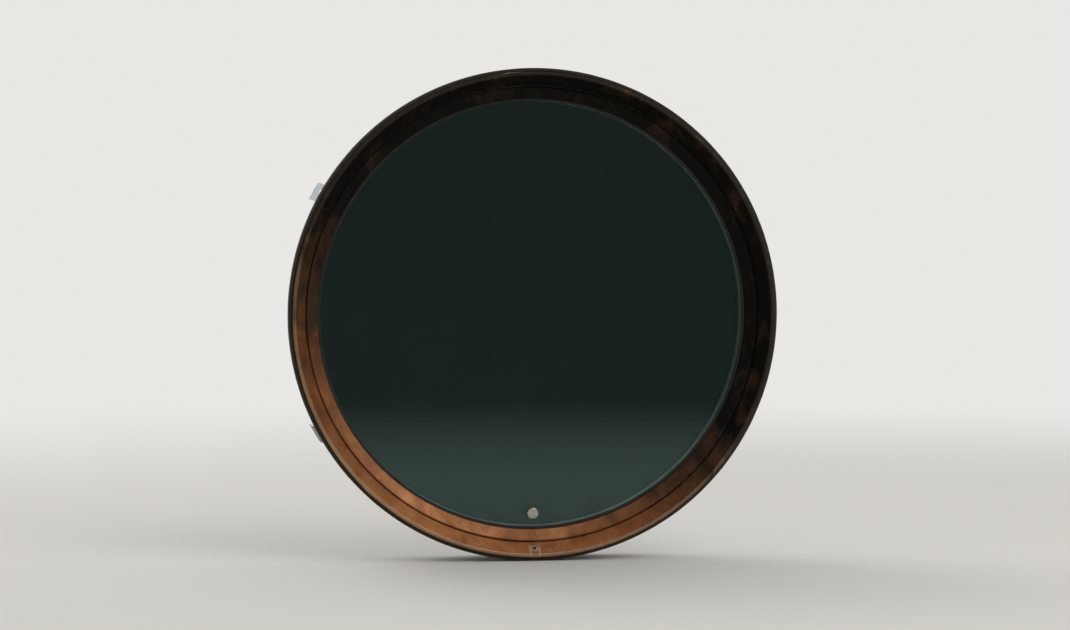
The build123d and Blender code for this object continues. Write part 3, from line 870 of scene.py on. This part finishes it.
spacer_metal = rolled_spacer()
print("spacer:", spacer_metal.name)

# %% [markdown]
# Hot-dip galvanised steel is covered with leaf-like crystals of zinc, each a slightly different
# grey and sheen, as the cells of a Voronoi pattern are. The screws are plated much more thinly, and
# show only a faint cloud of yellow and blue.

# %% Zinc on steel


def galvanised_steel():
    material, tree, place = start_finish("hot-dip galvanised steel", Metallic=1.0)
    crystals = add(tree, "TexVoronoi", inputs={"Vector": place, "Scale": per(7)}).outputs["Color"]
    tone = add(tree, "SeparateColor", inputs={"Color": crystals}).outputs[0]
    skin = add(tree, "ValToRGB", {"stops": [(0.1, "#7C8184"), (0.9, "#A3A7A9")]}, {"Fac": tone})
    sheen = add(tree, "MapRange", inputs={"Value": tone, "To Min": 0.34, "To Max": 0.56}).outputs[0]
    return finished(material, Base_Color=skin.outputs["Color"], Roughness=sheen)


def zinc_plated_steel():
    material, tree, place = start_finish("zinc-plated steel", Metallic=1.0, Roughness=0.3)
    cast = add(tree, "TexNoise", inputs={
        "Vector": place, "Scale": per(5), "Detail": 3.0,
    }).outputs["Fac"]
    skin = add(tree, "ValToRGB", {"stops": [(0.35, "#B4B8BC"), (0.65, "#CDCDC6")]}, {"Fac": cast})
    return finished(material, Base_Color=skin.outputs["Color"])


galvanised, plated = galvanised_steel(), zinc_plated_steel()
print("lugs and screws:", galvanised.name, "/", plated.name)

# %% [markdown]
# The button on the glass and the eyelet in the drain hole are turned from stainless steel, so the
# lathe has left fine rings on them. The distance from the middle of the piece makes those rings,
# and a sine turns the distance to waves. Half a millimetre between rings is coarser than real, or
# they wouldn't show.

# %% Turned stainless steel
LATHE_PITCH = 0.5 * MM


def turned_steel(name, node):
    """Circles round the middle of the node's box: sine of 2 pi * distance / pitch."""
    low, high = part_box(node)
    material, tree, place = start_finish(name, Metallic=1.0, Roughness=0.26)
    away = add(tree, "VectorMath", {"operation": "DISTANCE"}, {
        0: place, 1: tuple((low + high) / 2),
    }).outputs["Value"]
    phase = add(tree, "Math", {"operation": "MULTIPLY"}, {
        0: away, 1: 2 * np.pi / LATHE_PITCH,
    }).outputs[0]
    rings = add(tree, "Math", {"operation": "SINE"}, {0: phase}).outputs[0]
    # Sockets 7 to 10 of a vector Map Range are its From Min, From Max, To Min and To Max
    skin = add(tree, "MapRange", {"data_type": "FLOAT_VECTOR"}, {
        "Vector": rings, 7: (-1.0,) * 3, 8: (1.0,) * 3,
        9: paint("#B9B8B2")[:3], 10: paint("#D2D1CC")[:3],
    }).outputs["Vector"]
    relief = add(tree, "Bump", inputs={
        "Height": rings, "Distance": 0.02 * MM, "Strength": 0.5,
    }).outputs[0]
    return finished(material, Base_Color=skin, Normal=relief)


button_steel = turned_steel("turned stainless steel, button", "glass_button")
eyelet_steel = turned_steel("turned stainless steel, eyelet", "weep_eyelet")
print("turned work:", button_steel.name, "/", eyelet_steel.name)

# %% [markdown]
# The inner shell is powder coated: the baked powder leaves the fine dimples of an orange's skin.
# The two rings between the shells are polyamide filled with short glass fibres. Real ones are
# hardly visible, so they are drawn as pale flecks of nearly a millimetre. The blocks round the
# glass are plain moulded plastic, and the drying agent is a mass of beige beads.

# %% Powder coat, plastics and drying agent


def powder_coat():
    material, tree, place = start_finish("powder-coated aluminium", Roughness=0.42)
    dimples = add(tree, "TexNoise", inputs={
        "Vector": place, "Scale": per(1.6), "Detail": 2.0,
    }).outputs["Fac"]
    tone = add(tree, "TexNoise", inputs={
        "Vector": place, "Scale": per(80), "Detail": 3.0,
    }).outputs["Fac"]
    skin = add(tree, "ValToRGB", {"stops": [(0.3, "#35322E"), (0.7, "#3E3A35")]}, {"Fac": tone})
    relief = add(tree, "Bump", inputs={
        "Height": dimples, "Distance": 0.10 * MM, "Strength": 0.7,
    }).outputs[0]
    return finished(material, Base_Color=skin.outputs["Color"], Normal=relief)


def filled_polyamide():
    material, tree, place = start_finish("glass-filled polyamide", Roughness=0.6)
    fibres = add(tree, "TexNoise", inputs={
        "Vector": place, "Scale": per(0.9), "Detail": 2.0,
    }).outputs["Fac"]
    skin = add(tree, "ValToRGB", {"stops": [(0.55, "#1D1D1E"), (0.78, "#4A4A4A")]}, {"Fac": fibres})
    return finished(material, Base_Color=skin.outputs["Color"])


def moulded_block():
    material, tree, place = start_finish("moulded polypropylene", Roughness=0.45)
    tone = add(tree, "TexNoise", inputs={
        "Vector": place, "Scale": per(12), "Detail": 2.0,
    }).outputs["Fac"]
    skin = add(tree, "ValToRGB", {"stops": [(0.3, "#2B4670"), (0.7, "#35538A")]}, {"Fac": tone})
    return finished(material, Base_Color=skin.outputs["Color"])


def drying_beads():
    material, tree, place = start_finish("drying agent beads", Roughness=0.8)
    cells = add(tree, "TexVoronoi", inputs={"Vector": place, "Scale": per(1.2)}).outputs["Distance"]
    # Each bead is painted lighter in its middle and darker at its edge: painted light on the beads
    # and painted shade between them.
    skin = add(tree, "ValToRGB", {"stops": [(0.2, "#CDBFA6"), (0.7, "#8F8470")]}, {"Fac": cells})
    relief = add(tree, "Bump", {"invert": True}, {
        "Height": cells, "Distance": 0.5 * MM, "Strength": 0.8,
    }).outputs[0]
    return finished(material, Base_Color=skin.outputs["Color"], Normal=relief)


coat, polyamide = powder_coat(), filled_polyamide()
block_plastic, beads = moulded_block(), drying_beads()
print("inner finishes:", coat.name, "/", polyamide.name, "/", block_plastic.name, "/", beads.name)

# %% [markdown]
# Now each piece gets its finish. The table follows the build from the outside in, and the last line
# checks that no node of the construction was forgotten. A node's mesh stays as it was loaded, and
# only its material slots change.

# %% Dress every piece
dress = {
    "facing_ring": steep_copper, "bead_cap": cap_copper, "weep_eyelet": eyelet_steel,
    "glass_button": button_steel, "outer_pane": outer_glass, "inner_pane": inner_glass,
    "spacer_ring": spacer_metal, "desiccant_ring": beads, "outer_frame_ring": aluminium,
    "glazing_bead": aluminium, "inner_frame_ring": coat, "thermal_break_inner": polyamide,
    "thermal_break_outer": polyamide, "button_pad": sealant,
}
dress |= {name: sealant for name in nodes if name.endswith(("_seal", "_tape"))}
dress |= {name: block_plastic for name in nodes if "_block_" in name}
dress |= {name: galvanised for name in lugs}
dress |= {"joint_tape": foam_finish, "lug_screws": plated}
dress |= {"outer_gasket": rubber, "inner_gasket": rubber}
for name, finish in dress.items():
    for slot in nodes[name].material_slots:
        slot.material = finish
new_pieces = [(foam, foam_finish), (outer_lip, rubber), (inner_lip, rubber), (screws, plated)]
for piece, finish in new_pieces:
    piece.data.materials.append(finish)
print("nodes without a finish:", sorted(set(nodes) - set(dress)) or "none")

# %% [markdown]
# The window stands on its rim on a pale floor, as on a photographer's table. A floor with an edge
# would draw a horizon behind the ring, so this disc fades out with the distance and lets the world
# show, which has nearly the same tone.

# %% Floor
FLOOR_RADIUS = 3.4
FLOOR_OPAQUE = 1.1
FLOOR_RINGS, FLOOR_SPOKES = 24, 96
FLOOR_MIDDLE = 0.01
FLOOR_GAP = 0.2 * MM
floor_level = cad_box[0].z - FLOOR_GAP
floor_radii, floor_angles = np.meshgrid(
    np.linspace(FLOOR_MIDDLE, FLOOR_RADIUS, FLOOR_RINGS),
    np.linspace(0, 2 * np.pi, FLOOR_SPOKES, endpoint=False),
)
floor_points = np.stack([
    floor_radii * np.cos(floor_angles), floor_radii * np.sin(floor_angles),
    np.full_like(floor_radii, floor_level),
], axis=-1)
spot = np.arange(floor_radii.size).reshape(floor_radii.shape)
beside = np.roll(spot, -1, axis=0)
floor_faces = np.stack([spot[:, :-1], spot[:, 1:], beside[:, 1:], beside[:, :-1]], axis=-1)
floor_faces = [*floor_faces.reshape(-1, 4).tolist(), spot[::-1, 0].tolist()]
floor_mesh = bpy.data.meshes.new("floor")
floor_mesh.from_pydata(floor_points.reshape(-1, 3).tolist(), [], floor_faces)
floor = bpy.data.objects.new("floor", floor_mesh)
bpy.context.scene.collection.objects.link(floor)
floor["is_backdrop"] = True
print("floor at", round(floor_level, 4), "metres")

# %% [markdown]
# The floor is matt painted board. Its distance from the middle mixes it with nothing at all,
# smoothly, so that no edge can be seen. Near the window it is solid and holds the shadow.

# %% Finish of the floor
floor_finish, tree, place = start_finish(
    "matt painted board", Base_Color=paint("#DEDCD7"), Roughness=0.9,
)
distance = add(tree, "VectorMath", {"operation": "LENGTH"}, {0: place}).outputs["Value"]
gone = add(tree, "MapRange", {"interpolation_type": "SMOOTHSTEP"}, {
    "Value": distance, "From Min": FLOOR_OPAQUE, "From Max": 0.9 * FLOOR_RADIUS,
}).outputs[0]
nothing = add(tree, "BsdfTransparent").outputs[0]
board = tree.nodes["Principled BSDF"].outputs[0]
fading = add(tree, "MixShader", inputs={0: gone, 1: board, 2: nothing}).outputs[0]
tree.links.new(fading, tree.nodes["Material Output"].inputs["Surface"])
floor_mesh.materials.append(floor_finish)
print("floor fades out from", FLOOR_OPAQUE, "metres on")

# %% [markdown]
# The light is a plain studio: a pale surround, darker on the camera's side so that the glass stays
# deep, and two large soft lamps, one at the upper right in front and one at the upper left behind.
# Copper mirrors what lies across the ring from it, so the front lamp brightens the lower left, as
# daylight does outdoors, and the copper there also carries painted light.

# %% Light
world = bpy.data.worlds.new("pale studio")
world.use_nodes = True
bpy.context.scene.world = world
surround = world.node_tree
looking = add(surround, "TexCoord").outputs["Generated"]
away = add(surround, "SeparateXYZ", inputs={"Vector": looking}).outputs["Y"]
brightness = add(surround, "MapRange", {"interpolation_type": "SMOOTHSTEP"}, {
    "Value": away, "From Min": -0.95, "From Max": 0.5, "To Min": 0.20, "To Max": 0.84,
}).outputs[0]
background = surround.nodes["Background"]
background.inputs["Color"].default_value = paint("#FBFAF7")
surround.links.new(brightness, background.inputs["Strength"])


def soft_lamp(name, place, size, watts):
    """Square area lamp that faces the window."""
    lamp = bpy.data.lights.new(name, "AREA")
    lamp.shape, lamp.size, lamp.energy = "SQUARE", size, watts
    holder = bpy.data.objects.new(name, lamp)
    holder.location = place
    holder.rotation_euler = (-Vector(place)).to_track_quat("-Z", "Y").to_euler()
    bpy.context.scene.collection.objects.link(holder)


soft_lamp("key lamp", place=(1.7, -2.3, 2.4), size=2.8, watts=45)
soft_lamp("back lamp", place=(-1.8, 2.6, 2.2), size=2.4, watts=35)

# %% [markdown]
# The photograph was taken from about 5 m in front of this window, a little to its left and just
# above its middle. The camera stands at that place, because distance and direction decide how much
# of the ring's inside shows. The window fills only a small part of the photograph, so a longer lens
# brings it closer without changing the perspective.

# %% Camera
CAMERA_PLACE = Vector((-0.728, -5.11, 0.259))
LENS = 132.0
camera_data = bpy.data.cameras.new("camera")
camera_data.lens = LENS
camera_data.sensor_width = 36.0
camera = bpy.data.objects.new("camera", camera_data)
camera.location = CAMERA_PLACE
camera.rotation_euler = (-CAMERA_PLACE).to_track_quat("-Z", "Y").to_euler()
bpy.context.scene.collection.objects.link(camera)
bpy.context.scene.camera = camera
bpy.context.scene.view_settings.view_transform = "Standard"
print("camera is", round(CAMERA_PLACE.length, 2), "m from the window")

# %% [markdown]
# Last, the dressed window is measured, and its box is printed to set beside that of the
# construction. The two boxes should agree, because paint and rubber lips must not make the window
# larger.

# %% Measure and finish
dressed_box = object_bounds()
dressed_sides = [round(side, 4) for side in dressed_box[1] - dressed_box[0]]
print("dressed box of", dressed_sides, "metres")
